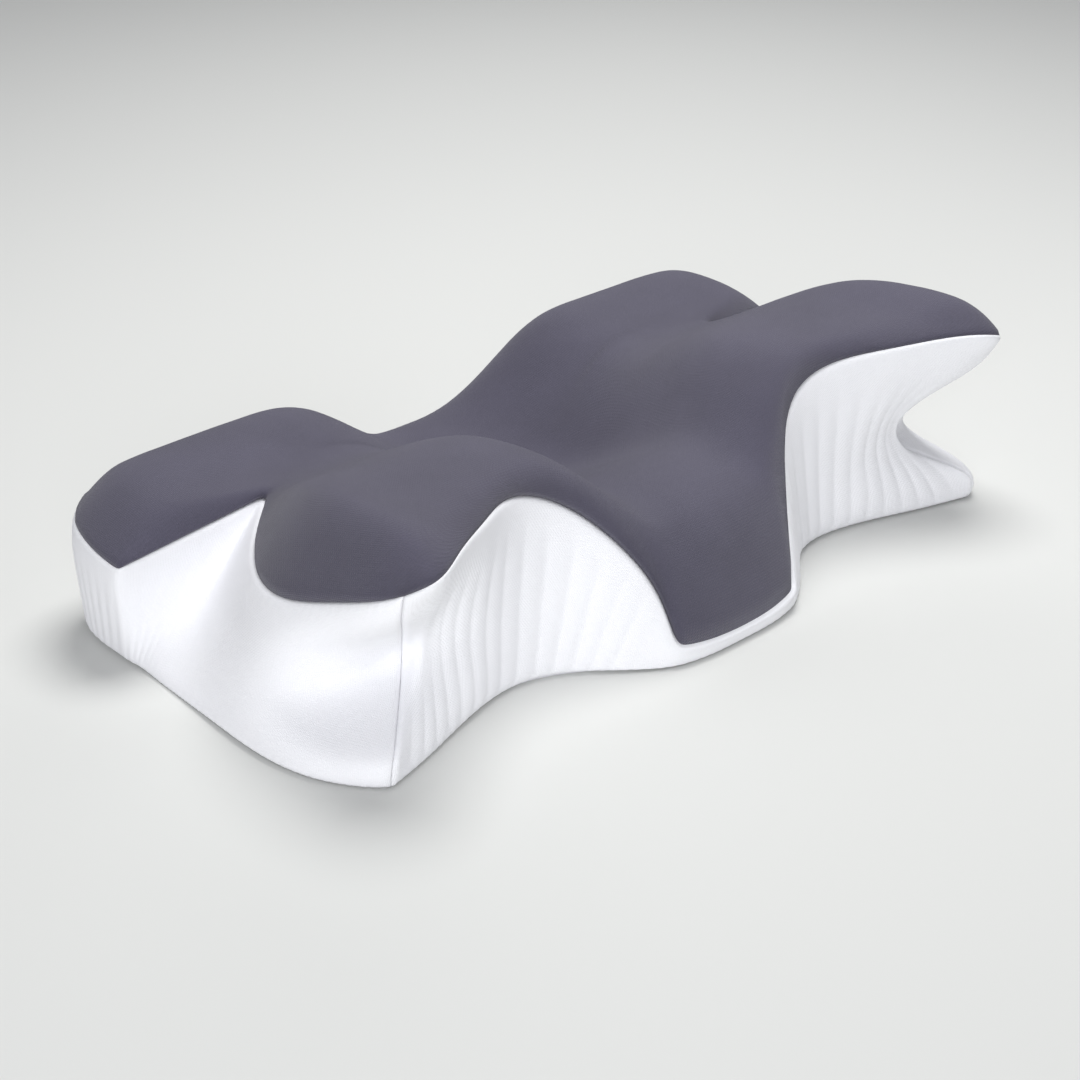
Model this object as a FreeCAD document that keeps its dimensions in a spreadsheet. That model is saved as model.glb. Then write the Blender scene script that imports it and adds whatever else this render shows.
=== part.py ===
import FreeCAD, Part
import os

# Butterfly contour neck pillow with a zip-off two-tone cover.
# Millimetres, +Z up, +Y to the back, origin under the middle of the pillow.

doc = FreeCAD.newDocument("neck_pillow")
V = FreeCAD.Vector

# ---------------------------------------------------------------- driving sizes
SIZES = {
    "neck_roll_z": 94,        # top of the roll under the neck, at the middle
    "bowl_z": 50,             # bottom of the hollow for the head
    "back_rim_z": 55,         # back edge of the hollow
    "front_wing_z": 143,      # top of the two front wings
    "back_wing_z": 110,       # top of the two back wings
    "front_wing_lift": 17,    # how much more they rise towards their ends
    "notch_z": 101,           # saddle between a front wing and a back wing
    "roll_half": 40,          # half of the neck roll's level length
    "bowl_half": 20,          # where the hollow starts to rise to the wings
    "front_wing_start": 120,  # where the front wings have their full height
    "back_wing_start": 130,   # where the back wings have it
    "recess": 60,             # how far the front corners are cut back for an arm
    "cover_skin": 1.2,        # cover fabric
    "foam_out": 2.6,          # depth of the foam under the cover's outside
    "seam_gap": 0.5,          # each panel ends this far from its seam line
    "wall_y": 161.1,          # flat lower part of the back wall
    "zip_z": 20,              # height of the zip
    "zip_half": 170,          # half of the zip's length
    "coil_w": 2.5,
    "coil_t": 1.6,
    "coil_proud": 0.3,
    "tape_w": 11,
    "tape_t": 0.5,
    "tape_depth": 1.5,
    "stop_l": 5,
    "slider_l": 10,
    "slider_w": 7.6,
    "slider_t": 1.2,
    "slider_lift": 0.6,       # underside of the slider's plate above the fabric
    "slider_x": 160,          # where the slider rests when the cover is closed
    "flange_w": 0.8,
    "flange_h": 1.6,
    "bail_h": 3.0,
    "bail_w": 1.6,
    "pull_l": 24,
    "pull_w": 6.4,
    "pull_t": 1.0,
}

sheet = doc.addObject("Spreadsheet::Sheet", "sizes")
for row, (name, value) in enumerate(SIZES.items(), start=1):
    sheet.set(f"A{row}", name)
    sheet.set(f"B{row}", str(value))
    sheet.setAlias(f"B{row}", name)
doc.recompute()


def size(name):
    return float(sheet.get(name))


# ---------------------------------------------------------------- seam and foot lines
# The seam is where the dark top panel meets the white walls. Each line of these lists is a
# control point of the right half: seam x, y, z, then the foot of the wall below it, x, y.
# Three points close together make a sharp corner.
FRONT = [
    (0, -164, 11, 0, -160),
    (26, -164, 12, 28, -160),
    (50, -160, 14, 50, -156),          # corner of the tongue
    (54, -158, 16, 58, -153),
    (56, -155, 20, 68, -148),
    (59, -148, 44, 84, -137),
    (70, -134, 72, 100, -122),
    (98, -106, 108, 122, -107),
    (140, -99, 128, 152, -103),        # top of the white arch
    (182, -125, 133, 190, -112),
    (226, -149, 138, 228, -126),
    (250, -165, 136, 246, -131),       # tip of the front wing
    (263, -162, 131, 260, -135),
    (271, -150, 125, 272, -138),       # front corner
]
END = [
    (271, -150, 125, 272, -138),
    (274, -144, 122, 278, -134),
    (278, -132, 117, 287, -124),
    (278, -98, 105, 301, -96),
    (280, -54, 90, 304, -58),
    (267, -14, 87, 299, -14),
    (234, 26, 86, 295, 22),
    (207, 48, 94, 293, 40),            # notch between the wings
    (204, 50, 96, 292, 48),
    (208, 52, 94, 291, 56),
    (252, 61, 84, 289, 70),
    (295, 69, 74, 288, 82),            # front corner of the back wing
    (300, 71, 73, 287, 90),
    (301, 76, 73, 286, 98),
    (300, 102, 77, 285, 116),
    (292, 129, 81, 281, 134),
    (284, 138, 82, 275, 144),
    (276, 147, 82, 268, 152),
    (264, 157, 82, 258, 159),          # back corner
]
# Heights of the rows of control points up a wall, as shares of the seam's height, and how much of
# the recess each row takes.
WALL_ROWS = (0, 0.05, 0.11, 0.18, 0.30, 0.37, 0.43, 0.49, 0.66, 0.84, 1)
RECESS_ROWS = (0, 0, 0, 0.10, 0.80, 1.05, 1.10, 1.05, 0.75, 0.06, 0)
# The back wall has its lower rows level, so that the zip lies in a flat stretch.
BACK_LEVELS = (0, 4, 9, 15, 25, 30, 35, 40)
ZIP_ROW = 4                            # first row above the zip


def smooth(a, b, x):
    """0 below a, 1 above b and an even S between them."""
    t = min(1.0, max(0.0, (x - a) / (b - a)))
    return t * t * (3 - 2 * t)


def through(points, x):
    """The height at x of a smooth line through points, given as (x, height)."""
    if x <= points[0][0]:
        return points[0][1]
    for (x0, z0), (x1, z1) in zip(points, points[1:]):
        if x <= x1:
            return z0 + (z1 - z0) * smooth(x0, x1, x)
    return points[-1][1]


MIDDLE = [(-165, 84), (-82, size("neck_roll_z")), (28, size("bowl_z")), (145, size("back_rim_z"))]
WING = [
    (-165, 142), (-118, size("front_wing_z")), (-50, size("front_wing_z")),
    (60, size("notch_z")), (128, size("back_wing_z")), (172, 86),
]


def top_height(x, y):
    """Height of the top between its rounded edges."""
    toward_back = smooth(-60, 60, y)
    start = size("roll_half") * (1 - toward_back) + size("bowl_half") * toward_back
    end = size("front_wing_start") * (1 - toward_back) + size("back_wing_start") * toward_back
    share = smooth(start, end, abs(x))
    lift = size("front_wing_lift") * (1 - toward_back) * smooth(205, 265, abs(x))
    return (1 - share) * through(MIDDLE, y) + share * (through(WING, y) + lift)


def back_line(count):
    """Seam and foot of the back wall, from the middle to the back corner."""
    corner_x, corner_y, corner_z, foot_x, foot_y = END[-1]
    line = []
    for k in range(count):
        share = k / (count - 1)
        x = corner_x * share
        z = 47 + (corner_z + 2 - 47) * smooth(20, 170, x)
        y = size("wall_y") - 4 + 3 * smooth(60, 200, x)
        line.append((x, y, z, foot_x * share, size("wall_y") - 1.5))
    line[-1] = END[-1]
    return line


BACK = back_line(len(FRONT))


def mirrored(half):
    """A line for the whole width, left to right, from the right half of it."""
    left = [(-p[0], p[1], p[2], -p[3], p[4]) for p in half[:0:-1]]
    return left + list(half)


def wall_column(point, outward, recess):
    """Control points up a front or end wall, from the foot to the seam."""
    x, y, z, fx, fy = point
    column = []
    for share, cut in zip(WALL_ROWS, RECESS_ROWS):
        out = (2.5 if 0 < share < 1 else 0) - recess * cut
        slope = V(fx + (x - fx) * share, fy + (y - fy) * share, z * share)
        column.append(slope + V(outward.x, outward.y, 0) * out)
    return column


def back_column(point):
    """Control points up the back wall."""
    x, y, z, fx, fy = point
    flat = size("wall_y") - 2 * smooth(215, 264, abs(x))
    column = [V(fx, fy, 0)]
    for level in BACK_LEVELS[1:]:
        column.append(V(fx + (x - fx) * level / z, flat, level))
    top_level = BACK_LEVELS[-1]
    for share in (0.33, 0.67):
        level = top_level + (z - top_level) * share
        column.append(V(fx + (x - fx) * 0.9, flat + (y - flat) * share, level))
    column.append(V(x, y, z))
    return column


def outward_at(line, i):
    """Level direction out of the wall at a point of a line that runs with the pillow on its left."""
    a, b = line[max(0, i - 2)], line[min(len(line) - 1, i + 2)]
    along = V(b[3] - a[3], b[4] - a[4], 0)
    along.normalize()
    return V(along.y, -along.x, 0)


def mirror_column(column):
    return [V(-p.x, p.y, p.z) for p in column]


# Arm recess along the front (towards the tip) and along the end (away from it).
def front_recess(x):
    return size("recess") * smooth(165, 262, abs(x))


def end_recess(y):
    return size("recess") * (1 - smooth(-150, -40, y))


diagonal = V(1, -1, 0)
diagonal.normalize()
corner_front = wall_column(FRONT[-1], diagonal, size("recess"))
corner_back = back_column(END[-1])

front_line = mirrored(FRONT)
back_row = mirrored(BACK)

front_wall = []
for i, point in enumerate(front_line):
    toward_tip = smooth(180, 266, abs(point[0]))
    out = outward_at(front_line, i)
    side = 1 if point[0] > 0 else -1
    out = out * (1 - toward_tip) + V(side * diagonal.x, diagonal.y, 0) * toward_tip
    front_wall.append(wall_column(point, out, front_recess(point[0])))
front_wall[-1] = corner_front
front_wall[0] = mirror_column(corner_front)

right_wall = []
for i, point in enumerate(END):
    toward_tip = 1 - smooth(-165, -70, point[1])
    out = outward_at(END, i) * (1 - toward_tip) + diagonal * toward_tip
    right_wall.append(wall_column(point, out, end_recess(point[1])))
right_wall[0] = corner_front
right_wall[-1] = corner_back
left_wall = [mirror_column(c) for c in right_wall]

back_wall = [back_column(p) for p in back_row]
back_wall[-1] = corner_back
back_wall[0] = mirror_column(corner_back)


# ---------------------------------------------------------------- top and bottom nets
def shares(points):
    """How far along its line each point lies, from 0 to 1."""
    run = [0.0]
    for a, b in zip(points, points[1:]):
        run.append(run[-1] + (b - a).Length)
    return [r / run[-1] for r in run]


def filled(front, back, left, right):
    """A net of control points spanned between four edge lines."""
    us = [0.5 * (a + b) for a, b in zip(shares(front), shares(back))]
    vs = [0.5 * (a + b) for a, b in zip(shares(left), shares(right))]
    net = []
    for i, u in enumerate(us):
        column = []
        for j, v in enumerate(vs):
            edges = front[i] * (1 - v) + back[i] * v + left[j] * (1 - u) + right[j] * u
            corners = (
                front[0] * (1 - u) * (1 - v) + front[-1] * u * (1 - v)
                + back[0] * (1 - u) * v + back[-1] * u * v
            )
            column.append(edges - corners)
        net.append(column)
    return net


def relaxed(net, rounds):
    """The net with its inner points drawn towards the middle of their neighbours, which evens them out."""
    for _ in range(rounds):
        last = [list(column) for column in net]
        for i in range(1, len(net) - 1):
            for j in range(1, len(net[0]) - 1):
                around = last[i - 1][j] + last[i + 1][j] + last[i][j - 1] + last[i][j + 1]
                net[i][j] = last[i][j] * 0.5 + around * 0.125
    return net


RELAX_ROUNDS = 8
SHOULDER = (0, 0.85, 1, 1)            # how soon the top reaches its height from each edge


def shoulder(index, count):
    steps = min(index, count - 1 - index)
    return SHOULDER[min(steps, len(SHOULDER) - 1)]


def seam_of(wall):
    return [column[-1] for column in wall]


def foot_of(wall):
    return [column[0] for column in wall]


walls = {"front": front_wall, "back": back_wall, "left": left_wall, "right": right_wall}
top = filled(*(seam_of(walls[w]) for w in ("front", "back", "left", "right")))
top = relaxed(top, RELAX_ROUNDS)
for i, column in enumerate(top):
    for j, point in enumerate(column):
        share = shoulder(i, len(top)) * shoulder(j, len(column))
        point.z += share * (top_height(point.x, point.y) - point.z)
bottom = filled(*(foot_of(walls[w]) for w in ("front", "back", "left", "right")))
bottom = relaxed(bottom, RELAX_ROUNDS)

# Each net with the side of it that looks out of the pillow.
nets = {
    "top": (top, 1), "bottom": (bottom, -1), "front": (front_wall, 1),
    "back": (back_wall, -1), "left": (left_wall, -1), "right": (right_wall, 1),
}


# ---------------------------------------------------------------- layers
def net_normal(net, side, i, j):
    n, m = len(net), len(net[0])
    along = net[min(i + 2, n - 1)][j] - net[max(i - 2, 0)][j]
    across = net[i][min(j + 2, m - 1)] - net[i][max(j - 2, 0)]
    normal = along.cross(across) * side
    if normal.Length > 1e-9:
        normal.normalize()
    return normal


def place_key(point):
    return (round(point.x, 3), round(point.y, 3), round(point.z, 3))


# Control points that panels share have one direction, so that their layers meet.
directions = {}
for net, side in nets.values():
    for i in range(len(net)):
        for j in range(len(net[0])):
            directions.setdefault(place_key(net[i][j]), []).append(net_normal(net, side, i, j))


FLOOR_ROUND = 25                       # below this the layers also lift off the floor


def inward(point):
    """The step that takes a control point 1 mm into the pillow, square to the panels that meet there."""
    found = directions[place_key(point)]
    mean = V(0, 0, 0)
    for normal in found:
        mean = mean + normal
    low = max(0.0, 1 - point.z / FLOOR_ROUND)
    if low == 1:
        mean.z = 0
    if mean.Length < 1e-6:
        return V(0, 0, 1)
    mean.normalize()
    facing = [mean.dot(normal) for normal in found if abs(normal.z) < 0.9 or low < 1]
    if not facing:
        return V(0, 0, 1)
    step = mean * (-1 / max(0.6, sum(facing) / len(facing)))
    step.z = step.z * (1 - low) + low
    return step


def layer(net, depth):
    return [[point + inward(point) * depth for point in column] for column in net]


def trimmed(net, gap):
    """The net with its four edges drawn in by gap."""
    net = [list(column) for column in net]
    for column in net:
        for edge, inner in ((0, 1), (-1, -2)):
            step = column[inner] - column[edge]
            column[edge] = column[edge] + step * (gap / max(step.Length, gap))
    for edge, inner in ((0, 1), (-1, -2)):
        for j in range(len(net[0])):
            step = net[inner][j] - net[edge][j]
            net[edge][j] = net[edge][j] + step * (gap / max(step.Length, gap))
    return net


def surface(net):
    """The smooth surface that a net of control points steers."""
    n, m = len(net), len(net[0])
    patch = Part.BSplineSurface()
    patch.buildFromPolesMultsKnots(
        net,
        [4] + [1] * (n - 4) + [4], [4] + [1] * (m - 4) + [4],
        [float(k) for k in range(n - 2)], [float(k) for k in range(m - 2)],
        False, False, 3, 3,
    )
    return patch


def edge_line(points):
    n = len(points)
    curve = Part.BSplineCurve()
    curve.buildFromPolesMultsKnots(
        points, [4] + [1] * (n - 4) + [4], [float(k) for k in range(n - 2)], False, 3
    )
    return curve.toShape()


def solid_from(faces):
    shell = Part.Shell(Part.makeShell(faces).Faces)
    shell.sewShape()
    solid = Part.Solid(shell.Shells[0] if shell.ShapeType != "Shell" else shell)
    if solid.Volume < 0:
        solid.reverse()
    return solid


def rim(net):
    """The four edges of a net's surface."""
    sides = (net[0], [column[-1] for column in net], net[-1], [column[0] for column in net])
    return [edge_line(points) for points in sides]


def panel(net):
    """A sheet of cover fabric whose outside follows a net."""
    outer = trimmed(net, size("seam_gap"))
    inner = trimmed(layer(net, size("cover_skin")), size("seam_gap"))
    outer_rim = rim(outer)
    if all(abs(point.z) < 1e-6 for column in outer for point in column):
        outside = Part.Face(Part.Wire(Part.__sortEdges__(outer_rim)))
    else:
        outside = surface(outer).toShape()
    faces = [outside, surface(inner).toShape()]
    for outer_edge, inner_edge in zip(outer_rim, rim(inner)):
        faces.append(Part.makeRuledSurface(outer_edge, inner_edge))
    return solid_from(faces)


def closed_body(depth):
    """The whole pillow, drawn in by depth."""
    return solid_from([surface(layer(net, depth)).toShape() for net, _ in nets.values()])


def add_shape(name, shape):
    node = doc.addObject("Part::Feature", name)
    node.Label = name
    node.Shape = shape
    node.Placement = FreeCAD.Placement()
    return node


# The back panels part along the zip and meet again beyond its ends.
def back_panel_net(lower):
    rows, edge = (slice(0, ZIP_ROW), -1) if lower else (slice(ZIP_ROW, None), 0)
    net = [[V(point) for point in column[rows]] for column in back_wall]
    for column in net:
        point = column[edge]
        facing = directions[place_key(point)]
        share = smooth(size("zip_half") + 8, size("zip_half") + 45, abs(point.x))
        point.z += share * (size("zip_z") - point.z)
        directions[place_key(point)] = facing
    return net


nodes = [add_shape("foam_core", closed_body(size("foam_out")))]
for name, (net, _) in nets.items():
    if name != "back":
        nodes.append(add_shape(f"cover_{name}", panel(net)))
nodes.append(add_shape("cover_back_upper", panel(back_panel_net(lower=False))))
nodes.append(add_shape("cover_back_lower", panel(back_panel_net(lower=True))))


# ---------------------------------------------------------------- zip
def bar(name, length, depth, height, x, y, z):
    """A straight bar bound to the sheet; every argument but the name is a formula."""
    node = doc.addObject("Part::Box", name)
    node.Label = name
    for field, formula in (
        ("Length", length), ("Width", depth), ("Height", height),
        ("Placement.Base.x", x), ("Placement.Base.y", y), ("Placement.Base.z", z),
    ):
        node.setExpression(field, formula)
    nodes.append(node)
    return node


COIL_Y = "sizes.wall_y - sizes.coil_t + sizes.coil_proud"
TAPE_Y = "sizes.wall_y - sizes.tape_depth - sizes.tape_t"
COIL = ("2 * sizes.zip_half", "sizes.coil_t", "sizes.coil_w", "-sizes.zip_half", COIL_Y)
bar("zip_coil_upper", *COIL, "sizes.zip_z + 0.1")
bar("zip_coil_lower", *COIL, "sizes.zip_z - 0.1 - sizes.coil_w")
TAPE = ("2 * sizes.zip_half + 14", "sizes.tape_t", "sizes.tape_w", "-sizes.zip_half - 7", TAPE_Y)
bar("zip_tape_upper", *TAPE, "sizes.zip_z + 0.3")
bar("zip_tape_lower", *TAPE, "sizes.zip_z - 0.3 - sizes.tape_w")
STOP = ("sizes.stop_l", "sizes.coil_t + 0.8", "2 * sizes.coil_w")
STOP_Z = "sizes.zip_z - sizes.coil_w"
bar("zip_stop_left", *STOP, "-sizes.zip_half - sizes.stop_l - 0.4", COIL_Y, STOP_Z)
bar("zip_stop_right", *STOP, "sizes.zip_half + 0.4", COIL_Y, STOP_Z)


def body_node(name):
    body = doc.addObject("PartDesign::Body", name)
    body.Label = name
    nodes.append(body)
    return body


def sketch_on(body, plane, name):
    """A sketch on one of the body's own origin planes."""
    sketch = body.newObject("Sketcher::SketchObject", name)
    feature = next(f for f in body.Origin.OriginFeatures if f.Name.startswith(plane))
    sketch.AttachmentSupport = [(feature, "")]
    sketch.MapMode = "FlatFace"
    return sketch


def rectangle(sketch, x0, y0, x1, y1):
    corners = [V(x0, y0, 0), V(x1, y0, 0), V(x1, y1, 0), V(x0, y1, 0)]
    for k in range(4):
        sketch.addGeometry(Part.LineSegment(corners[k], corners[(k + 1) % 4]), False)


def rounded(sketch, x0, y0, x1, y1, r):
    """A rectangle with rounded corners."""
    centres = [(x1 - r, y0 + r, -90), (x1 - r, y1 - r, 0), (x0 + r, y1 - r, 90), (x0 + r, y0 + r, 180)]
    ends = []
    for cx, cy, start in centres:
        turn = FreeCAD.Rotation(V(0, 0, 1), start)
        a = V(cx, cy, 0) + turn.multVec(V(r, 0, 0))
        m = V(cx, cy, 0) + FreeCAD.Rotation(V(0, 0, 1), start + 45).multVec(V(r, 0, 0))
        b = V(cx, cy, 0) + FreeCAD.Rotation(V(0, 0, 1), start + 90).multVec(V(r, 0, 0))
        sketch.addGeometry(Part.Arc(a, m, b), False)
        ends.append((a, b))
    for k in range(4):
        sketch.addGeometry(Part.LineSegment(ends[k][1], ends[(k + 1) % 4][0]), False)


def pad(body, sketch, length, reversed_=False, midplane=False):
    feature = body.newObject("PartDesign::Pad", f"{sketch.Name}_pad")
    feature.Profile = sketch
    feature.setExpression("Length", length)
    feature.Reversed = reversed_
    if midplane:
        feature.SideType = "Symmetric"
    sketch.Visibility = False
    return feature


# The slider: a plate over the coils, two flanges beside them and a bail for the pull. Its own
# origin is in the middle of the plate's underside. On the XZ plane a sketch's x is the body's x,
# its y is the body's z, and a pad grows towards -Y unless it is reversed.
slider = body_node("zip_slider")
half_l = size("slider_l") / 2
half_w = size("slider_w") / 2
plate = sketch_on(slider, "XZ_Plane", "slider_plate")
rounded(plate, -half_l, -half_w, half_l, half_w, 1.6)
pad(slider, plate, "sizes.slider_t", reversed_=True)
flanges = sketch_on(slider, "XZ_Plane", "slider_flanges")
rectangle(flanges, -half_l + 1.6, half_w - size("flange_w"), half_l - 1.6, half_w)
rectangle(flanges, -half_l + 1.6, -half_w, half_l - 1.6, -half_w + size("flange_w"))
pad(slider, flanges, "sizes.flange_h")
bail = sketch_on(slider, "XY_Plane", "slider_bail")
foot_y = size("slider_t") - 0.2
rise = size("slider_t") + size("bail_h")
for points in (
    [(-4, foot_y), (4, foot_y), (4, rise - 0.9), (2.8, rise), (-2.8, rise), (-4, rise - 0.9)],
    [
        (-3, foot_y + 0.2), (3, foot_y + 0.2), (3, rise - 1.2),
        (2.4, rise - 0.9), (-2.4, rise - 0.9), (-3, rise - 1.2),
    ],
):
    for k, (x, y) in enumerate(points):
        nx, ny = points[(k + 1) % len(points)]
        bail.addGeometry(Part.LineSegment(V(x, y, 0), V(nx, ny, 0)), False)
pad(slider, bail, "sizes.bail_w", midplane=True)
slider.setExpression("Placement.Base.x", "sizes.slider_x")
slider.setExpression("Placement.Base.y", "sizes.wall_y + sizes.slider_lift")
slider.setExpression("Placement.Base.z", "sizes.zip_z")

# The pull: a flat tab whose window lets its end bar turn under the bail. Its own origin is the
# middle of that bar, which is the hinge line.
pull = body_node("zip_pull")
tab = sketch_on(pull, "XZ_Plane", "pull_tab")
bar_half = size("pull_t") / 2
pull_half = size("pull_w") / 2
rounded(tab, -size("pull_l"), -pull_half, bar_half, pull_half, bar_half)
rectangle(tab, -7.5, -pull_half + 1.2, -bar_half, pull_half - 1.2)
rounded(tab, -size("pull_l") + 2, -1.2, -size("pull_l") + 9, 1.2, 1.1)
pad(pull, tab, "sizes.pull_t", midplane=True)
pull.setExpression("Placement.Base.x", "sizes.slider_x")
pull.setExpression("Placement.Base.y", "sizes.wall_y + sizes.slider_lift + sizes.slider_t + 0.95")
pull.setExpression("Placement.Base.z", "sizes.zip_z")
doc.recompute()


# ---------------------------------------------------------------- checks and export
for item in doc.Objects:
    assert "Invalid" not in item.State and "Error" not in item.State, (item.Name, item.State)
os.makedirs("parts", exist_ok=True)
for node in nodes:
    shape = node.Shape
    assert not shape.isNull() and shape.isValid(), node.Label
    box = shape.BoundBox
    corners = [round(v, 1) for v in (box.XMin, box.XMax, box.YMin, box.YMax, box.ZMin, box.ZMax)]
    print(node.Label, len(shape.Solids), round(shape.Volume), corners)
    shape.exportStep(f"parts/{node.Label}.step")
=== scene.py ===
import math

import bmesh
import bpy
import numpy as np
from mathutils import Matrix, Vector, noise


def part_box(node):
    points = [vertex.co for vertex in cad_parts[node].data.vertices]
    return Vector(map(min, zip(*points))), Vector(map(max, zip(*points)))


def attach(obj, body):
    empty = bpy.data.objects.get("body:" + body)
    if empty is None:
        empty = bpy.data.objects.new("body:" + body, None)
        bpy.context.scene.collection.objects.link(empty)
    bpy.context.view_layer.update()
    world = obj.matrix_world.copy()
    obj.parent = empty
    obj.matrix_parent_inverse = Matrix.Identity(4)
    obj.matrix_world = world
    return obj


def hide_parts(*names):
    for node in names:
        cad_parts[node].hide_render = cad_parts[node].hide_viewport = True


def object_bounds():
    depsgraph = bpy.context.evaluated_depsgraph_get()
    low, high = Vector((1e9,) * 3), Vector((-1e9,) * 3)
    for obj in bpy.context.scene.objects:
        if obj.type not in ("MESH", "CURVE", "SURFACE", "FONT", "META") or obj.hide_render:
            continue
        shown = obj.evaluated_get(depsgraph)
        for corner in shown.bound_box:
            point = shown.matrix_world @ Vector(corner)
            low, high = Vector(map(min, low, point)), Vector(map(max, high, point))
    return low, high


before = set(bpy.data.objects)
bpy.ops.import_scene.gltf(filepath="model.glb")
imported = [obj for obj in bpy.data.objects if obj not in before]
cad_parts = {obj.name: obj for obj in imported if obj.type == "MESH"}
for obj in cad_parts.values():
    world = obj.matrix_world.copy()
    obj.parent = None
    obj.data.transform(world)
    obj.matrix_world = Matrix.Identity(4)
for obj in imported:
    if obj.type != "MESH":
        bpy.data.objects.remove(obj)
cad_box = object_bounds()

# Contour neck pillow in a zip-off two-tone knit cover. The cover's panels are laid over the same
# control points as the CAD panels, in millimetres, and turned into metres when a mesh is made.
MM = 0.001

# ---------------------------------------------------------------- shape of the pillow
NECK_ROLL_Z, BOWL_Z, BACK_RIM_Z = 94, 50, 55
FRONT_WING_Z, BACK_WING_Z, NOTCH_Z, FRONT_WING_LIFT = 143, 110, 101, 17
ROLL_HALF, BOWL_HALF, FRONT_WING_START, BACK_WING_START = 40, 20, 120, 130
RECESS, WALL_Y, ZIP_Z, ZIP_HALF = 60, 161.1, 20, 170
RELAX_ROUNDS = 8
LOW_BACK_Z = 47        # the back seam at its middle

# Right half of the seam line (x, y, z) with the foot of the wall below it (x, y).
FRONT = [
    (0, -164, 11, 0, -160), (26, -164, 12, 28, -160), (50, -160, 14, 50, -156),
    (54, -158, 16, 58, -153), (56, -155, 20, 68, -148), (59, -148, 44, 84, -137),
    (70, -134, 72, 100, -122), (98, -106, 108, 122, -107), (140, -99, 128, 152, -103),
    (182, -125, 133, 190, -112), (226, -149, 138, 228, -126), (250, -165, 136, 246, -131),
    (263, -162, 131, 260, -135), (271, -150, 125, 272, -138),
]
END = [
    (271, -150, 125, 272, -138), (274, -144, 122, 278, -134), (278, -132, 117, 287, -124),
    (278, -98, 105, 301, -96), (280, -54, 90, 304, -58), (267, -14, 87, 299, -14),
    (234, 26, 86, 295, 22), (207, 48, 94, 293, 40), (204, 50, 96, 292, 48),
    (208, 52, 94, 291, 56), (252, 61, 84, 289, 70), (295, 69, 74, 288, 82),
    (300, 71, 73, 287, 90), (301, 76, 73, 286, 98), (300, 102, 77, 285, 116),
    (292, 129, 81, 281, 134), (284, 138, 82, 275, 144), (276, 147, 82, 268, 152),
    (264, 157, 82, 258, 159),
]
WALL_ROWS = (0, 0.05, 0.11, 0.18, 0.30, 0.37, 0.43, 0.49, 0.66, 0.84, 1)
RECESS_ROWS = (0, 0, 0, 0.10, 0.80, 1.05, 1.10, 1.05, 0.75, 0.06, 0)
BACK_LEVELS = (0, 4, 9, 15, 25, 30, 35, 40)
ZIP_ROW = 4
SHOULDER = (0, 0.85, 1, 1)


def smooth(a, b, x):
    """0 below a, 1 above b and an even S between them, for a number or an array."""
    t = np.clip((x - a) / (b - a), 0, 1)
    return t * t * (3 - 2 * t)


def through(points, x):
    """The height at x of a smooth line through points, given as (x, height)."""
    height = points[0][1]
    for (x0, z0), (x1, z1) in zip(points, points[1:]):
        height = height + (z1 - z0) * smooth(x0, x1, x)
    return height


MIDDLE = [(-165, 84), (-82, NECK_ROLL_Z), (28, BOWL_Z), (145, BACK_RIM_Z)]
WING = [
    (-165, 142), (-118, FRONT_WING_Z), (-50, FRONT_WING_Z),
    (60, NOTCH_Z), (128, BACK_WING_Z), (172, 86),
]


def top_height(x, y):
    """Height of the top between its rounded edges."""
    back = smooth(-60, 60, y)
    start = ROLL_HALF * (1 - back) + BOWL_HALF * back
    end = FRONT_WING_START * (1 - back) + BACK_WING_START * back
    share = smooth(start, end, abs(x))
    lift = FRONT_WING_LIFT * (1 - back) * smooth(205, 265, abs(x))
    return (1 - share) * through(MIDDLE, y) + share * (through(WING, y) + lift)


def back_line(count):
    """Seam and foot of the back wall, from the middle to the back corner."""
    corner_x, _, corner_z, foot_x, _ = END[-1]
    line = []
    for share in np.linspace(0, 1, count):
        x = corner_x * share
        z = LOW_BACK_Z + (corner_z + 2 - LOW_BACK_Z) * smooth(20, 170, x)
        y = WALL_Y - 4 + 3 * smooth(60, 200, x)
        line.append((x, y, z, foot_x * share, WALL_Y - 1.5))
    line[-1] = END[-1]
    return line


def mirrored(half):
    """A line for the whole width, left to right, from the right half of it."""
    return [(-p[0], p[1], p[2], -p[3], p[4]) for p in half[:0:-1]] + list(half)


def wall_column(point, outward, recess):
    """Control points up a front or end wall, from the foot to the seam."""
    x, y, z, fx, fy = point
    column = []
    for share, cut in zip(WALL_ROWS, RECESS_ROWS):
        out = (2.5 if 0 < share < 1 else 0) - recess * cut
        slope = np.array([fx + (x - fx) * share, fy + (y - fy) * share, z * share])
        column.append(slope + outward * out)
    return column


def back_column(point):
    """Control points up the back wall, whose lower rows are level."""
    x, y, z, fx, fy = point
    flat = WALL_Y - 2 * smooth(215, 264, abs(x))
    column = [(fx, fy, 0)]
    for level in BACK_LEVELS[1:]:
        column.append((fx + (x - fx) * level / z, flat, level))
    top = BACK_LEVELS[-1]
    for share in (0.33, 0.67):
        column.append((fx + (x - fx) * 0.9, flat + (y - flat) * share, top + (z - top) * share))
    column.append((x, y, z))
    return column


def outward_at(line, i):
    """Level direction out of the wall at a point of a line."""
    a, b = line[max(0, i - 2)], line[min(len(line) - 1, i + 2)]
    out = np.array([b[4] - a[4], a[3] - b[3], 0.0])
    return out / np.linalg.norm(out)


def flipped(net):
    """The mirror image of a net of the right end, for the left end."""
    return net * np.array([-1, 1, 1])


DIAGONAL = np.array([1, -1, 0]) / math.sqrt(2)


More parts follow.
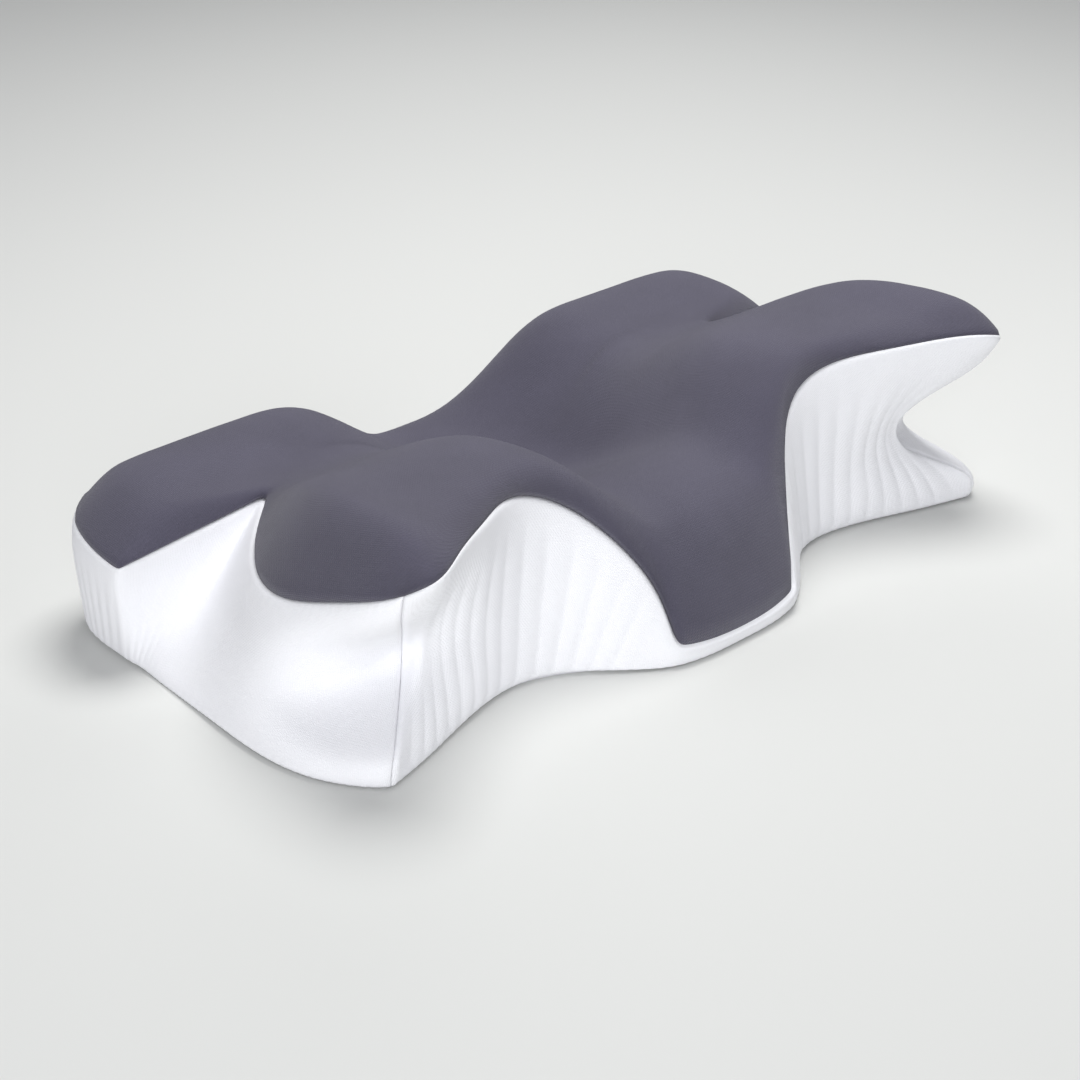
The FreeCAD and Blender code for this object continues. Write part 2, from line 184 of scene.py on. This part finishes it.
def wall_nets():
    """Nets of control points of the four walls, each [along][up]."""
    corner_front = wall_column(FRONT[-1], DIAGONAL, RECESS)
    corner_back = back_column(END[-1])
    line = mirrored(FRONT)
    front = []
    for i, point in enumerate(line):
        tip = smooth(180, 266, abs(point[0]))
        side = np.array([1 if point[0] > 0 else -1, 1, 1])
        out = outward_at(line, i) * (1 - tip) + DIAGONAL * side * tip
        front.append(wall_column(point, out, RECESS * smooth(165, 262, abs(point[0]))))
    right = []
    for i, point in enumerate(END):
        tip = 1 - smooth(-165, -70, point[1])
        out = outward_at(END, i) * (1 - tip) + DIAGONAL * tip
        right.append(wall_column(point, out, RECESS * (1 - smooth(-150, -40, point[1]))))
    back = [back_column(p) for p in mirrored(back_line(len(FRONT)))]
    front, right, back = (np.array(net, float) for net in (front, right, back))
    front[-1], front[0] = corner_front, flipped(np.array(corner_front))
    right[0], right[-1] = corner_front, corner_back
    back[-1], back[0] = corner_back, flipped(np.array(corner_back))
    return {"front": front, "back": back, "left": flipped(right), "right": right}


def shares(points):
    """How far along its line each point lies, from 0 to 1."""
    run = np.concatenate([[0], np.cumsum(np.linalg.norm(np.diff(points, axis=0), axis=1))])
    return run / run[-1]


def filled(walls, row):
    """A net spanned between the same row of the four walls, with its inside evened out."""
    front, back, left, right = (walls[w][:, row] for w in ("front", "back", "left", "right"))
    u = ((shares(front) + shares(back)) / 2)[:, None, None]
    v = ((shares(left) + shares(right)) / 2)[None, :, None]
    net = front[:, None] * (1 - v) + back[:, None] * v + left[None] * (1 - u) + right[None] * u
    net = net - front[0] * (1 - u) * (1 - v) - front[-1] * u * (1 - v)
    net = net - back[0] * (1 - u) * v - back[-1] * u * v
    for _ in range(RELAX_ROUNDS):
        around = net[:-2, 1:-1] + net[2:, 1:-1] + net[1:-1, :-2] + net[1:-1, 2:]
        net[1:-1, 1:-1] = net[1:-1, 1:-1] * 0.5 + around * 0.125
    return net


def all_nets():
    """The wall nets, the top net raised to its height and the bottom net."""
    nets = wall_nets()
    top = filled(nets, -1)
    for i in range(top.shape[0]):
        for j in range(top.shape[1]):
            steps = [min(i, top.shape[0] - 1 - i, 3), min(j, top.shape[1] - 1 - j, 3)]
            share = SHOULDER[steps[0]] * SHOULDER[steps[1]]
            top[i, j, 2] += share * (top_height(*top[i, j, :2]) - top[i, j, 2])
    nets["top"] = top
    nets["bottom"] = filled({w: nets[w] for w in ("front", "back", "left", "right")}, 0)
    return nets


def back_halves(back):
    """The back wall above and below the zip; the two meet beyond the zip's ends."""
    upper, lower = back[:, ZIP_ROW:].copy(), back[:, :ZIP_ROW].copy()
    for half, row in ((upper, 0), (lower, -1)):
        share = smooth(ZIP_HALF + 8, ZIP_HALF + 45, abs(half[:, row, 0]))
        half[:, row, 2] += share * (ZIP_Z - half[:, row, 2])
    return upper, lower


# ---------------------------------------------------------------- smooth surfaces
def spline_weights(count, at):
    """Weight of each of count control points of a clamped cubic spline, at places from 0 to 1."""
    knots = np.concatenate([[0] * 3, np.arange(count - 2), [count - 3] * 3]).astype(float)
    at = np.clip(at, 0, 1 - 1e-9) * (count - 3)
    weights = ((at[:, None] >= knots[:-1]) & (at[:, None] < knots[1:])).astype(float)
    for degree in (1, 2, 3):
        held = len(knots) - 1 - degree
        low, high = knots[:held], knots[1:held + 1]
        up, down = knots[degree:degree + held] - low, knots[degree + 1:degree + 1 + held] - high
        rise = np.where(up > 0, (at[:, None] - low) / np.where(up > 0, up, 1), 0)
        fall = (knots[degree + 1:degree + 1 + held] - at[:, None]) / np.where(down > 0, down, 1)
        fall = np.where(down > 0, fall, 0)
        weights = rise * weights[:, :held] + fall * weights[:, 1:held + 1]
    return weights


def even_places(lines, step):
    """Places from 0 to 1 along lines of control points, about step apart where they are longest."""
    fine = np.linspace(0, 1, 3001)
    run = 0
    for line in lines:
        points = spline_weights(len(line), fine) @ line
        run = run + np.linalg.norm(np.diff(points, axis=0), axis=1)
    run = np.concatenate([[0], np.cumsum(run / len(lines))])
    count = int(round(run[-1] / step)) + 1
    return np.interp(np.linspace(0, run[-1], count), run, fine)


def laid(net, along, up):
    """Points of a net's surface as [along][up][xyz]."""
    first = spline_weights(net.shape[0], along)
    second = spline_weights(net.shape[1], up)
    return np.einsum("ai,ijk,bj->abk", first, net, second)


def face_normals(points, side):
    """Unit normals of a laid surface, out of the pillow."""
    along, up = np.gradient(points, axis=0), np.gradient(points, axis=1)
    normal = np.cross(along, up) * side
    return normal / np.maximum(np.linalg.norm(normal, axis=2, keepdims=True), 1e-9)


def runs(points):
    """How far each point lies from its lines' starts, along and up, in mm."""
    out = []
    for axis in (0, 1):
        step = np.linalg.norm(np.diff(points, axis=axis), axis=2)
        run = np.cumsum(step, axis=axis)
        pad = ((1, 0), (0, 0)) if axis == 0 else ((0, 0), (1, 0))
        out.append(np.pad(run, pad))
    return out


def rim_distance(points):
    """How far each point lies from the nearest edge of its panel, in mm."""
    along, up = runs(points)
    return np.minimum(np.minimum(along, along[-1:] - along), np.minimum(up, up[:, -1:] - up))


GRAIN = 1.6        # spacing of the points of a panel, in mm
nets = all_nets()
seams = [nets["front"][:, -1], nets["front"][:, 0], nets["back"][:, -1]]
ALONG_X = even_places(seams, GRAIN)
ALONG_Y = even_places([nets["right"][:, -1], nets["right"][:, 0]], GRAIN)
UP = even_places([nets["front"][20], nets["right"][4], nets["right"][14]], GRAIN)

UPPER, LOWER = back_halves(nets["back"])
UPPER_UP = even_places([UPPER[0], UPPER[13]], GRAIN)
LOWER_UP = even_places([LOWER[0], LOWER[13]], GRAIN)

# Name of each panel: net, the side that looks out, and where its points lie.
PANELS = {
    "top": (nets["top"], 1, ALONG_X, ALONG_Y),
    "bottom": (nets["bottom"], -1, ALONG_X[::3], ALONG_Y[::3]),
    "front": (nets["front"], 1, ALONG_X, UP),
    "left": (nets["left"], -1, ALONG_Y, UP),
    "right": (nets["right"], 1, ALONG_Y, UP),
    "back_upper": (UPPER, -1, ALONG_X, UPPER_UP),
    "back_lower": (LOWER, -1, ALONG_X, LOWER_UP),
}


# ---------------------------------------------------------------- relief of the sewn cover
def rough(points, size, seed=0):
    """Smooth unevenness from -1 to 1 with lumps about size mm across."""
    flat = points.reshape(-1, 3) / size
    shift = Vector((17.3 * seed, -9.1 * seed, 4.7 * seed))
    values = [noise.noise(Vector(p) + shift) for p in flat]
    return np.array(values).reshape(points.shape[:2])


def seam_relief(points, puckered):
    """The groove of a sewn seam round a panel, the fabric swelling beside it, and its puckers."""
    along, up = runs(points)
    across_x = np.minimum(along, along[-1:] - along)
    across_y = np.minimum(up, up[:, -1:] - up)
    d = np.minimum(across_x, across_y)
    beside = np.where(across_y < across_x, along, up)
    groove = -1.5 * np.exp(-((d / 1.9) ** 2))
    swell = 0.55 * (1 - np.exp(-d / 7))
    pucker = puckered * np.sin(beside * 2 * math.pi / 7.3 + 2.2 * rough(points, 23, 5))
    return groove + swell + pucker * np.exp(-(((d - 4) / 5) ** 2))


def gathers(distance, pitch):
    """Round ribs with narrow valleys between them."""
    return (np.sin(math.pi * distance / pitch) ** 2 + 0.02) ** 0.35 - 0.7


def top_relief(points):
    """Slight unevenness of the stretched top, with short folds fanning out of each notch."""
    height = 0.7 * rough(points, 75, 1) + 0.15 * rough(points, 17, 2)
    for side in (-1, 1):
        dx, dy = (points[..., 0] - side * 205) * side, points[..., 1] - 49
        far = np.hypot(dx, dy)
        turn = np.arctan2(dy, -dx)
        height += 0.12 * np.cos(5 * turn) * np.exp(-far / 26) * smooth(2, 12, far)
    return height


def front_relief(points):
    """Gathers under the wings and in the arches; near a corner they lean out from it."""
    along, up = runs(points)
    line = (along[:, :1] + along[:, -1:]) / 2
    corner = np.minimum(line, line[-1] - line)
    share = up / up[:, -1:]
    phase = corner + 24 * np.exp(-corner / 70) * smooth(0, 0.9, share)
    phase = phase + 2.0 * rough(points * np.array([1, 1, 0.15]), 45, 3)
    top = 0.84 + 0.12 * smooth(70, 150, corner)
    strength = smooth(4, 26, corner) * (1 - smooth(228, 262, corner))
    strength = strength * smooth(0.0, 0.08, share) * (1 - smooth(top - 0.3, top, share))
    spread = np.linalg.norm(np.gradient(points, axis=0), axis=2) / GRAIN
    strength = strength * smooth(0.35, 0.95, spread)
    return 1.25 * strength * gathers(phase, 16.5) + 0.4 * rough(points, 40, 4)


def end_relief(points):
    """Fine gathers on the back wing's end that fade towards the notch."""
    along, up = runs(points)
    line = (along[:, :1] + along[:, -1:]) / 2
    behind = line[-1] - line
    share = up / up[:, -1:]
    strength = smooth(1, 9, behind) * (1 - smooth(60, 190, behind))
    strength = strength * smooth(0, 0.1, share) * (1 - smooth(0.55, 0.92, share))
    phase = behind + 2.0 * rough(points * np.array([1, 1, 0.2]), 40, 6)
    return 0.95 * strength * gathers(phase, 9.5) + 0.5 * rough(points, 48, 7)


def back_relief(points):
    """Slack folds beside the zip."""
    along, up = runs(points)
    near = np.exp(-np.abs(points[..., 2] - ZIP_Z) / 13)
    phase = along + 3 * rough(points * np.array([1, 1, 0.2]), 50, 8)
    return 0.4 * near * gathers(phase, 21) + 0.35 * rough(points, 40, 9)


RELIEF = {
    "top": top_relief, "front": front_relief, "left": end_relief, "right": end_relief,
    "back_upper": back_relief, "back_lower": back_relief,
}

def closed_at_ends(points, edge):
    """A back panel whose edge row meets the other panel's within a few mm of the zip's ends."""
    level = points[:, edge, 2] - ZIP_Z
    shut = smooth(ZIP_HALF + 1, ZIP_HALF + 8, np.abs(points[:, edge, 0]))
    away = np.linalg.norm(points - points[:, edge][:, None], axis=2)
    points[..., 2] -= (level * shut)[:, None] * np.exp(-away / 9)
    return points


def eased(points, where, rounds):
    """Points moved towards the middle of their neighbours, as far as their weight says."""
    for _ in range(rounds):
        around = points[:-2, 1:-1] + points[2:, 1:-1] + points[1:-1, :-2] + points[1:-1, 2:]
        points[1:-1, 1:-1] += (around / 4 - points[1:-1, 1:-1]) * where[1:-1, 1:-1, None]
    return points


surfaces, facing = {}, {}
for name, (net, side, along, up) in PANELS.items():
    points = laid(net, along, up)
    if name.startswith("back"):
        points = closed_at_ends(points, 0 if name == "back_upper" else -1)
    if name == "front":
        undercut = smooth(180, 210, np.abs(points[..., 0])) * smooth(3, 16, rim_distance(points))
        points = eased(points, 0.8 * undercut, 120)
    surfaces[name] = points
    facing[name] = face_normals(points, side)


def rim_places(shape):
    """Indices of the points on the four edges of a panel."""
    for i in range(shape[0]):
        for j in range(shape[1]):
            if i in (0, shape[0] - 1) or j in (0, shape[1] - 1):
                yield i, j


# Panels that meet at a seam sink into it in one direction, so that no gap opens between them.
meeting = {}
for name, points in surfaces.items():
    for i, j in rim_places(points.shape[:2]):
        key = tuple(np.round(points[i, j], 2))
        meeting[key] = meeting.get(key, 0) + facing[name][i, j]
for name, points in surfaces.items():
    for i, j in rim_places(points.shape[:2]):
        total = meeting[tuple(np.round(points[i, j], 2))]
        facing[name][i, j] = total / max(np.linalg.norm(total), 1e-9)


# ---------------------------------------------------------------- meshes
def grid_faces(rows, columns, side):
    """Four-sided faces between the points of a laid surface, looking out."""
    index = np.arange(rows * columns).reshape(rows, columns)
    corners = [index[:-1, :-1], index[1:, :-1], index[1:, 1:], index[:-1, 1:]]
    faces = np.stack([c.ravel() for c in corners], axis=1)
    return faces if side > 0 else faces[:, ::-1]


def new_mesh(name, vertices, faces, uv=None):
    """An object from vertices in metres; uv holds one place for each vertex."""
    mesh = bpy.data.meshes.new(name)
    mesh.from_pydata([tuple(v) for v in vertices], [], [tuple(f) for f in faces])
    if uv is not None:
        layer = mesh.uv_layers.new(name="fabric")
        loops = np.zeros(len(mesh.loops), int)
        mesh.loops.foreach_get("vertex_index", loops)
        layer.data.foreach_set("uv", np.asarray(uv, np.float32)[loops].ravel())
    mesh.polygons.foreach_set("use_smooth", [True] * len(mesh.polygons))
    mesh.update()
    piece = bpy.data.objects.new(name, mesh)
    bpy.context.scene.collection.objects.link(piece)
    return piece


def finish_piece(piece, material, nodes=()):
    """Give a piece its material, hide the CAD parts it replaces, and let it ride on the pillow."""
    piece.data.materials.append(material)
    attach(piece, "pillow")
    if nodes:
        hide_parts(*nodes)
    return piece


def thickened(piece, thickness):
    """Cloth of a thickness in metres, measured inwards from its outer face."""
    thick = piece.modifiers.new("cloth_thickness", "SOLIDIFY")
    thick.thickness = thickness
    thick.offset = -1


def joined(parts):
    """One list of vertices and faces from several."""
    vertices, faces, count = [], [], 0
    for some, indices in parts:
        vertices.append(some)
        faces += [tuple(int(k) + count for k in face) for face in indices]
        count += len(some)
    return np.concatenate(vertices), faces


# ---------------------------------------------------------------- materials
def node(tree, kind, links=(), **fields):
    """A shader node with its inputs set; links is a list of (input, output socket)."""
    made = tree.nodes.new(kind)
    for key, value in fields.items():
        if hasattr(made, key):
            setattr(made, key, value)
        else:
            made.inputs[key].default_value = value
    for key, socket in links:
        tree.links.new(made.inputs[key], socket)
    return made


def sum_of(tree, operation, first, second):
    """A Math node on two values, each a number, a socket or None where it takes only one."""
    made = tree.nodes.new("ShaderNodeMath")
    made.operation = operation
    for k, value in enumerate((first, second)):
        if isinstance(value, (int, float)):
            made.inputs[k].default_value = value
        elif value is not None:
            tree.links.new(made.inputs[k], value)
    return made.outputs[0]


def knit(name, colour, wale, course, relief, mottle_and_stitch_shade, sheen):
    """Weft-knit cloth: columns of leaning stitches wale wide and course high, in metres."""
    material = bpy.data.materials.new(name)
    material.use_nodes = True
    tree = material.node_tree
    shader = tree.nodes["Principled BSDF"]
    place = tree.nodes.new("ShaderNodeTexCoord")
    split = node(tree, "ShaderNodeSeparateXYZ", [(0, place.outputs["UV"])])
    column = sum_of(tree, "MULTIPLY", split.outputs[0], 1 / wale)
    lean = sum_of(tree, "PINGPONG", column, 0.5)
    row = sum_of(tree, "MULTIPLY", split.outputs[1], 1 / course)
    row = sum_of(tree, "ADD", row, sum_of(tree, "MULTIPLY", lean, 1.3))
    loop = sum_of(tree, "SINE", sum_of(tree, "MULTIPLY", row, 2 * math.pi), None)
    leg = sum_of(tree, "SINE", sum_of(tree, "MULTIPLY", lean, 2 * math.pi), None)
    stitch = sum_of(tree, "ADD", sum_of(tree, "MULTIPLY", loop, 0.4), leg)
    fuzz = node(tree, "ShaderNodeTexNoise", [("Vector", place.outputs["Object"])],
                Scale=1400.0, Detail=3.0, Roughness=0.7)
    cloud = node(tree, "ShaderNodeTexNoise", [("Vector", place.outputs["Object"])],
                 Scale=14.0, Detail=3.0, Roughness=0.55)
    height = sum_of(tree, "ADD", stitch, sum_of(tree, "MULTIPLY", fuzz.outputs["Fac"], 1.4))
    bump = node(tree, "ShaderNodeBump", [("Height", height)], Strength=relief, Distance=0.0002)
    tree.links.new(shader.inputs["Normal"], bump.outputs[0])
    tone = sum_of(tree, "MULTIPLY", sum_of(tree, "SUBTRACT", fuzz.outputs["Fac"], 0.5), mottle_and_stitch_shade)
    wide = sum_of(tree, "MULTIPLY", sum_of(tree, "SUBTRACT", cloud.outputs["Fac"], 0.5), mottle_and_stitch_shade * 0.8)
    # Painted shade in the stitch hollows and painted highlight on the raised loops: the colour follows the
    # stitch height, scaled by the same strength as the random mottle.
    painted_stitch_shade = sum_of(tree, "MULTIPLY", stitch, mottle_and_stitch_shade * 0.12)
    tone = sum_of(tree, "ADD", sum_of(tree, "ADD", tone, wide), painted_stitch_shade)
    tone = sum_of(tree, "ADD", tone, 1.0)
    paint = node(tree, "ShaderNodeVectorMath", [("Scale", tone)], operation="SCALE")
    paint.inputs[0].default_value = colour
    tree.links.new(shader.inputs["Base Color"], paint.outputs[0])
    shader.inputs["Roughness"].default_value = 0.88
    shader.inputs["Sheen Weight"].default_value = sheen
    shader.inputs["Sheen Roughness"].default_value = 0.5
    shader.inputs["Specular IOR Level"].default_value = 0.25
    return material


def plain(name, colour, roughness, metallic=0.0, grain=300.0, relief=0.05):
    """Metal, nylon or foam with a fine uneven surface."""
    material = bpy.data.materials.new(name)
    material.use_nodes = True
    tree = material.node_tree
    shader = tree.nodes["Principled BSDF"]
    place = tree.nodes.new("ShaderNodeTexCoord")
    fine = node(tree, "ShaderNodeTexNoise", [("Vector", place.outputs["Object"])],
                Scale=grain, Detail=4.0, Roughness=0.6)
    tone = sum_of(tree, "ADD", sum_of(tree, "MULTIPLY", fine.outputs["Fac"], 0.16), 0.92)
    paint = node(tree, "ShaderNodeVectorMath", [("Scale", tone)], operation="SCALE")
    paint.inputs[0].default_value = colour
    tree.links.new(shader.inputs["Base Color"], paint.outputs[0])
    rough_tone = sum_of(tree, "ADD", sum_of(tree, "MULTIPLY", fine.outputs["Fac"], 0.2), roughness - 0.1)
    tree.links.new(shader.inputs["Roughness"], rough_tone)
    bump = node(tree, "ShaderNodeBump", [("Height", fine.outputs["Fac"])], Strength=relief, Distance=0.0003)
    tree.links.new(shader.inputs["Normal"], bump.outputs[0])
    shader.inputs["Metallic"].default_value = metallic
    return material


DARK = knit(
    "dark_knit", (0.082, 0.077, 0.110), wale=0.0024, course=0.0018, relief=0.75, mottle_and_stitch_shade=0.55, sheen=0.18,
)
WHITE = knit(
    "white_knit", (0.90, 0.90, 0.93), wale=0.0022, course=0.0016, relief=0.55, mottle_and_stitch_shade=0.07, sheen=0.10,
)
BASE = knit(
    "base_knit", (0.80, 0.80, 0.84), wale=0.0018, course=0.0012, relief=0.45, mottle_and_stitch_shade=0.06, sheen=0.10,
)
TAPE = knit(
    "tape_weave", (0.78, 0.78, 0.82), wale=0.0007, course=0.0006, relief=0.6, mottle_and_stitch_shade=0.12, sheen=0.05,
)
NYLON = plain("coil_nylon", (0.76, 0.76, 0.79), 0.42, grain=900.0)
THREAD = plain("sewing_thread", (0.80, 0.80, 0.84), 0.7, grain=2500.0, relief=0.3)
STEEL = plain("satin_steel", (0.62, 0.63, 0.65), 0.34, metallic=1.0, grain=700.0)
FOAM = plain("memory_foam", (0.83, 0.78, 0.62), 0.92, grain=1100.0, relief=0.8)

COVER_CLOTH, TAPE_CLOTH, FOAM_GAP = 0.0012, 0.0005, 0.0032        # metres
COVER = {
    "top": (DARK, "top_fabric"), "bottom": (BASE, "side_fabric"), "front": (WHITE, "side_fabric"),
    "left": (WHITE, "side_fabric"), "right": (WHITE, "side_fabric"),
    "back_upper": (WHITE, "side_fabric"), "back_lower": (WHITE, "side_fabric"),
}
for name, points in surfaces.items():
    raised = seam_relief(points, 0.05 if name in ("top", "bottom") else 0.11)
    if name in RELIEF:
        raised = raised + RELIEF[name](points) * smooth(0, 6, rim_distance(points))
    else:
        raised = np.minimum(raised, 0)
    cloth = points + facing[name] * raised[..., None]
    cloth[..., 2] = np.maximum(cloth[..., 2], 0)
    # The knit is laid out from the panel's middle, because its edges jump at a notch.
    along, up = runs(points)
    along = along - along[len(along) // 2]
    up = up - up[:, up.shape[1] // 2][:, None]
    piece = new_mesh(
        f"cover_{name}_cloth", cloth.reshape(-1, 3) * MM,
        grid_faces(*points.shape[:2], PANELS[name][1]),
        np.stack([along.ravel(), up.ravel()], axis=1) * MM,
    )
    thickened(piece, COVER_CLOTH)
    material, slot = COVER[name]
    finish_piece(piece, material, nodes=[f"cover_{name}"])

def thinned(points):
    """Every fourth line of a laid surface each way, and its edges."""
    rows, columns = (np.append(np.arange(0, n - 1, 4), n - 1) for n in points.shape[:2])
    return points[np.ix_(rows, columns)]


# The foam inside, one closed block a little smaller than the cover.
walls = [(surfaces[name], PANELS[name][1]) for name in ("top", "front", "left", "right")]
walls.append((laid(nets["bottom"], ALONG_X, ALONG_Y), -1))
walls.append((laid(nets["back"], ALONG_X, UP), -1))
sides = []
for points, side in walls:
    coarse = thinned(points)
    sides.append((coarse.reshape(-1, 3), grid_faces(*coarse.shape[:2], side)))
vertices, faces = joined(sides)
foam = new_mesh("foam_block", vertices * MM, faces)
shaped = bmesh.new()
shaped.from_mesh(foam.data)
bmesh.ops.remove_doubles(shaped, verts=shaped.verts, dist=0.0015)
shaped.normal_update()
for vertex in shaped.verts:
    vertex.co = vertex.co - vertex.normal * FOAM_GAP
    vertex.co.z = max(vertex.co.z, 0.0028)
shaped.to_mesh(foam.data)
shaped.free()
finish_piece(foam, FOAM, nodes=["foam_core"])


# ---------------------------------------------------------------- zip
def tube(path, radius, sides=6):
    """Vertices and faces of a closed-ended round wire along a path of points, in mm."""
    path = np.asarray(path, float)
    ahead = np.gradient(path, axis=0)
    ahead /= np.linalg.norm(ahead, axis=1, keepdims=True)
    across = np.cross(ahead, [0.31, 0.17, 0.93])
    across /= np.linalg.norm(across, axis=1, keepdims=True)
    over = np.cross(ahead, across)
    turn = np.linspace(0, 2 * math.pi, sides, endpoint=False)
    rings = (
        path[:, None] + radius * np.cos(turn)[None, :, None] * across[:, None]
        + radius * np.sin(turn)[None, :, None] * over[:, None]
    )
    faces = []
    for k in range(len(path) - 1):
        for m in range(sides):
            a, b = k * sides + m, k * sides + (m + 1) % sides
            faces.append((a, b, b + sides, a + sides))
    faces.append(tuple(range(sides))[::-1])
    faces.append(tuple((len(path) - 1) * sides + m for m in range(sides)))
    return rings.reshape(-1, 3), faces


COIL_PITCH, WIRE = 1.5, 0.34        # from turn to turn, and the wire's radius
TAPE_COLUMNS, TAPE_ROWS = 240, 12
for name, sign in (("upper", 1), ("lower", -1)):
    low, high = (corner * 1000 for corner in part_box(f"zip_coil_{name}"))
    middle = (low + high) / 2
    turns = (high.x - low.x - 2) / COIL_PITCH
    angle = np.linspace(0, 2 * math.pi * turns, int(turns * 10))
    path = np.stack([
        low.x + 1 + angle / (2 * math.pi) * COIL_PITCH + (0.5 * COIL_PITCH if sign < 0 else 0),
        middle.y + 0.05 + (0.75 - WIRE / 2) * np.sin(angle),
        middle.z - sign * 0.15 + (1.45 - WIRE) * np.cos(angle),
    ], axis=1)
    vertices, faces = tube(path, WIRE)
    piece = new_mesh(f"zip_coil_{name}_wire", vertices * MM, faces)
    finish_piece(piece, NYLON, nodes=[f"zip_coil_{name}"])
    low, high = (corner * 1000 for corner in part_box(f"zip_tape_{name}"))
    x, z = np.meshgrid(
        np.linspace(low.x, high.x, TAPE_COLUMNS), np.linspace(low.z, high.z, TAPE_ROWS), indexing="ij",
    )
    y = high.y + 0.12 * np.sin(x / 9.0) * np.sin((z - low.z) / 11 * math.pi)
    strip = np.stack([x, y, z], axis=2)
    piece = new_mesh(
        f"zip_tape_{name}_cloth", strip.reshape(-1, 3) * MM, grid_faces(TAPE_COLUMNS, TAPE_ROWS, -1),
        np.stack([x.ravel(), z.ravel()], axis=1) * MM,
    )
    thickened(piece, TAPE_CLOTH)
    finish_piece(piece, TAPE, nodes=[f"zip_tape_{name}"])


def surface_point(panel, x, z):
    """The place on a back panel's cloth nearest to x and z."""
    points = surfaces[panel]
    column = int(np.argmin(np.abs(points[:, 0, 0] - x)))
    row = int(np.argmin(np.abs(points[column, :, 2] - z)))
    return points[column, row]


# A row of stitches holds the cloth to the tape on each side of the zip.
STITCH, STITCH_STEP, STITCH_AWAY, THREAD_RADIUS = 2.3, 3.1, 8.6, 0.22
stitches = []
for panel, z in (("back_upper", ZIP_Z + STITCH_AWAY), ("back_lower", ZIP_Z - STITCH_AWAY)):
    for k in range(int(2 * ZIP_HALF / STITCH_STEP) + 1):
        x = -ZIP_HALF + k * STITCH_STEP
        place = surface_point(panel, x, z)
        lift = np.array([-0.35, 0.25, 0.42, 0.25, -0.35]) + 0.55
        line = [
            (x + STITCH * share, place[1] + rise, z)
            for share, rise in zip((-0.5, -0.3, 0, 0.3, 0.5), lift)
        ]
        stitches.append(tube(line, THREAD_RADIUS, 5))
vertices, faces = joined(stitches)
finish_piece(new_mesh("zip_topstitch", vertices * MM, faces), THREAD)

for name in ("zip_stop_left", "zip_stop_right", "zip_slider", "zip_pull"):
    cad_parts[name].data.materials.clear()
    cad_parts[name].data.materials.append(STEEL)


# ---------------------------------------------------------------- floor, light and camera
def paper(name, colour):
    """Plain matt backdrop paper."""
    material = bpy.data.materials.new(name)
    material.use_nodes = True
    shader = material.node_tree.nodes["Principled BSDF"]
    shader.inputs["Base Color"].default_value = (*colour, 1)
    shader.inputs["Roughness"].default_value = 0.95
    shader.inputs["Specular IOR Level"].default_value = 0.1
    return material


REACH = 9.0
corners = [(-REACH, -REACH, 0), (REACH, -REACH, 0), (REACH, REACH, 0), (-REACH, REACH, 0)]
floor = new_mesh("studio_floor", corners, [(0, 1, 2, 3)])
floor.data.materials.append(paper("studio_paper", (0.69, 0.695, 0.675)))

low, high = cad_box
centre = (low + high) / 2


def area_light(name, place, size, power, colour=(1, 1, 1)):
    """A round soft light at a place from the pillow's middle, aimed at it."""
    data = bpy.data.lights.new(name, "AREA")
    data.shape = "DISK"
    data.size = size
    data.energy = power
    data.color = colour
    light = bpy.data.objects.new(name, data)
    light.location = centre + Vector(place)
    light.rotation_euler = (centre - light.location).to_track_quat("-Z", "Y").to_euler()
    bpy.context.scene.collection.objects.link(light)


area_light("key", (0.3, 0.1, 1.45), 0.9, 19)
area_light("fill", (-1.6, -1.4, 0.45), 1.1, 24, (0.97, 0.98, 1.0))
area_light("rim", (1.1, 1.0, 0.9), 0.8, 3)

world = bpy.data.worlds.new("studio")
bpy.context.scene.world = world
world.use_nodes = True
world.node_tree.nodes["Background"].inputs[0].default_value = (0.95, 0.96, 1.0, 1)
world.node_tree.nodes["Background"].inputs[1].default_value = 0.38
bpy.context.scene.view_settings.view_transform = "Standard"

AZIMUTH, PITCH = math.radians(45.11), math.radians(25.99)
camera_data = bpy.data.cameras.new("camera")
camera_data.sensor_width = 36
camera_data.lens = 80
camera = bpy.data.objects.new("camera", camera_data)
camera.location = (-1.0250, -1.0044, 0.7130)
ahead = Vector((
    math.sin(AZIMUTH) * math.cos(PITCH), math.cos(AZIMUTH) * math.cos(PITCH), -math.sin(PITCH),
))
camera.rotation_euler = ahead.to_track_quat("-Z", "Y").to_euler()
bpy.context.scene.collection.objects.link(camera)
bpy.context.scene.camera = camera
